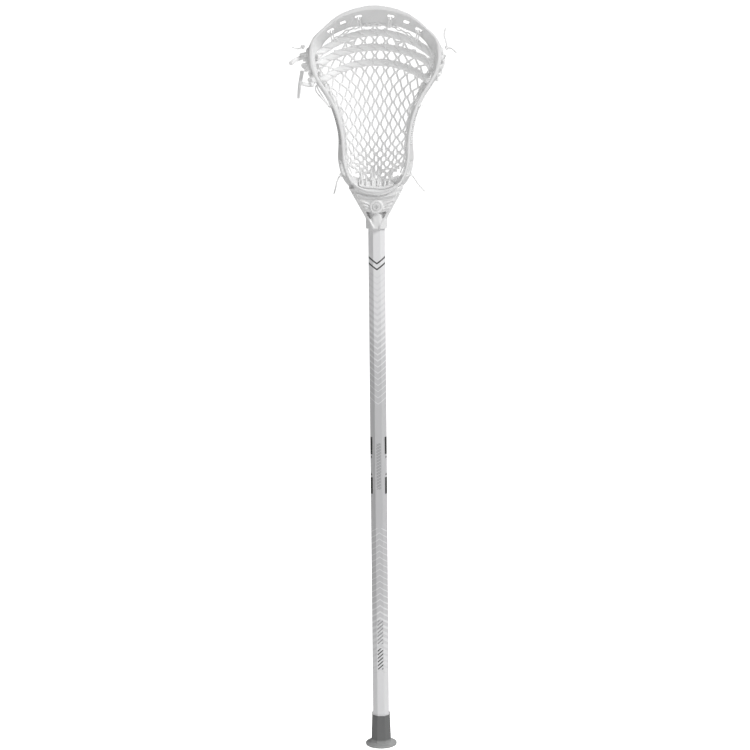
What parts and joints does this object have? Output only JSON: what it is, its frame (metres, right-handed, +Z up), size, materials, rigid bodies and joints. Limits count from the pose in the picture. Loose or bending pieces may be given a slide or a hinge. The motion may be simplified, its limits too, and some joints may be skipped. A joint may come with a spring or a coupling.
{
  "type": "lacrosse stick",
  "caption": "Lacrosse stick: octagonal tube shaft, removable rubber butt cap, moulded head with a strung mesh pocket and woven shooting laces.",
  "frame": {"origin": "centre of the butt cap's flat end face", "axes": "+Z up the shaft to the scoop, -Y out of the head's open face, +X to the right seen from the open face"},
  "size_m": [0.2207, 0.0892, 1.0178],
  "materials": {
    "head_plastic": "satin moulded nylon, white",
    "shaft_finish": "satin paint on aluminium, pale grey with fine chevrons",
    "cap_rubber": "matte dark grey rubber",
    "screw_steel": "zinc-plated steel",
    "stop_foam": "white closed-cell foam",
    "mesh_cord": "white knitted mesh",
    "lace_weave": "white waxed woven lace",
    "nylon_string": "white braided nylon"
  },
  "bodies": {
    "stick": {"ball_stop_pad": "stop_foam", "bottom_string": "nylon_string", "head_frame": "head_plastic", "head_screw": "screw_steel", "knot_bottom_left": "nylon_string", "knot_bottom_right": "nylon_string", "knot_top_left": "nylon_string", "knot_top_right": "nylon_string", "lace_end_lower": "lace_weave", "lace_end_middle": "lace_weave", "lace_end_upper": "lace_weave", "lace_knots_left": "lace_weave", "lace_knots_right": "lace_weave", "mesh_pocket": "mesh_cord", "shaft_tube": "shaft_finish", "shooting_lace_lower": "lace_weave", "shooting_lace_middle": "lace_weave", "shooting_lace_upper": "lace_weave", "side_string_left": "nylon_string", "side_string_right": "nylon_string", "tail_bottom_left": "nylon_string", "tail_bottom_right": "nylon_string", "tail_top_left": "nylon_string", "tail_top_right_lower": "nylon_string", "tail_top_right_upper": "nylon_string", "top_string": "nylon_string"},
    "cap": {"butt_cap": "cap_rubber"}
  },
  "joints": [
    {"name": "cap_pull", "type": "slide", "parent": "stick", "child": "cap", "axis": [0, 0, -1], "range_m": [0, 0.05]}
  ]
}
